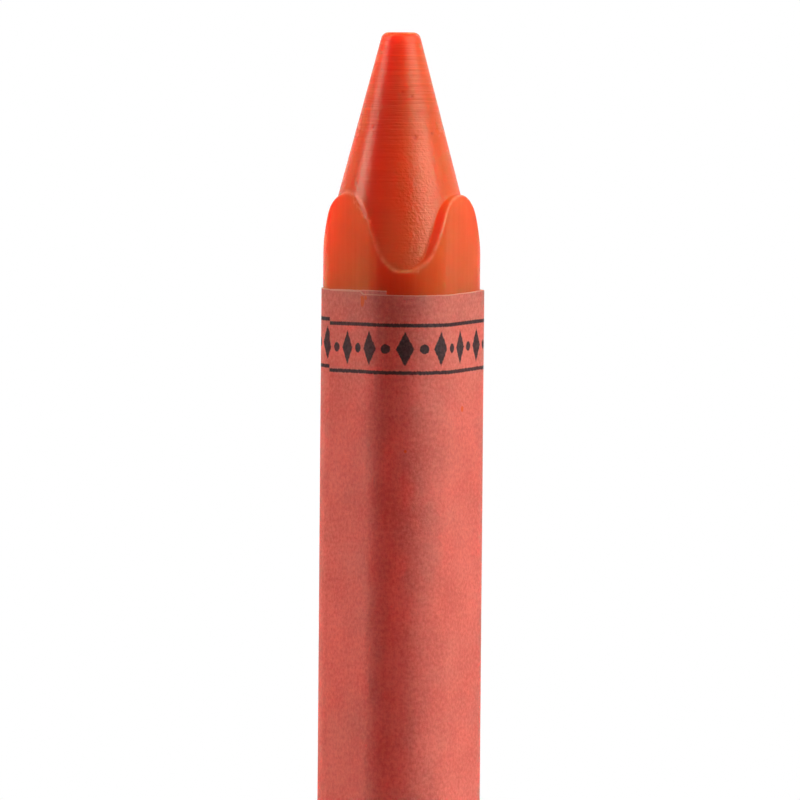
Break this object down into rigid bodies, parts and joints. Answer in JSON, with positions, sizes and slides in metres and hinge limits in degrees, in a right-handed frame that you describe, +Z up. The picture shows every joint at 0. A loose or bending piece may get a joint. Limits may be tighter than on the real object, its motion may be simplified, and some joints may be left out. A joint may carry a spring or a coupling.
{
  "type": "crayon",
  "caption": "Triangular wax crayon with a blunt conical tip, proud tongues at the shoulder and a wound paper label.",
  "frame": {"origin": "centre of the flat butt, on the stick's axis", "axes": "+Z up the stick's axis from the butt to the tip; one corner of the triangular section points along -Y and the flat opposite it faces +Y"},
  "size_m": [0.0116, 0.011, 0.1016],
  "materials": {
    "wax": "satin",
    "label_paper": "matte",
    "starch_paste": "matte"
  },
  "bodies": {
    "root": {"wax_stick": "wax", "paper_label": "label_paper", "paste_film": "starch_paste"}
  },
  "joints": []
}
